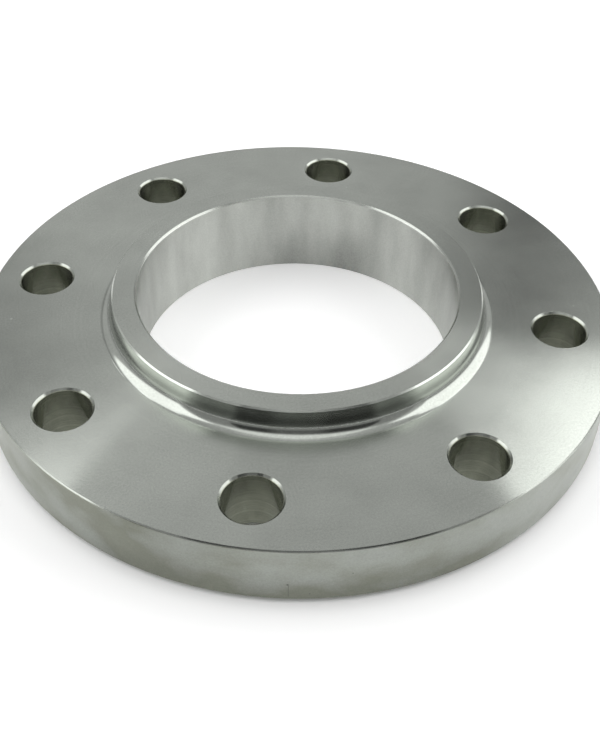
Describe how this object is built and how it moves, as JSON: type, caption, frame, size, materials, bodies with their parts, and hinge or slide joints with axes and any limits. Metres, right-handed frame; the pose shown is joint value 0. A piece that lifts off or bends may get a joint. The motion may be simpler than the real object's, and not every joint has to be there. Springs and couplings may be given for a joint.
{
  "type": "slip-on pipe flange",
  "caption": "Round steel pipe flange with a short hub and a plain bore that slips over a pipe to be welded, and a ring of bolt holes.",
  "frame": {"origin": "centre of the bore in the plane of the raised face, which the flange rests on", "axes": "+Z along the bore's axis towards the hub; the bolt holes straddle X and Y"},
  "size_m": [0.2286, 0.2286, 0.0338],
  "materials": {
    "turned_steel": "turned bare steel, satin, with fine lathe lines round the bore's axis"
  },
  "bodies": {
    "root": {"flange": "turned_steel"}
  },
  "joints": []
}
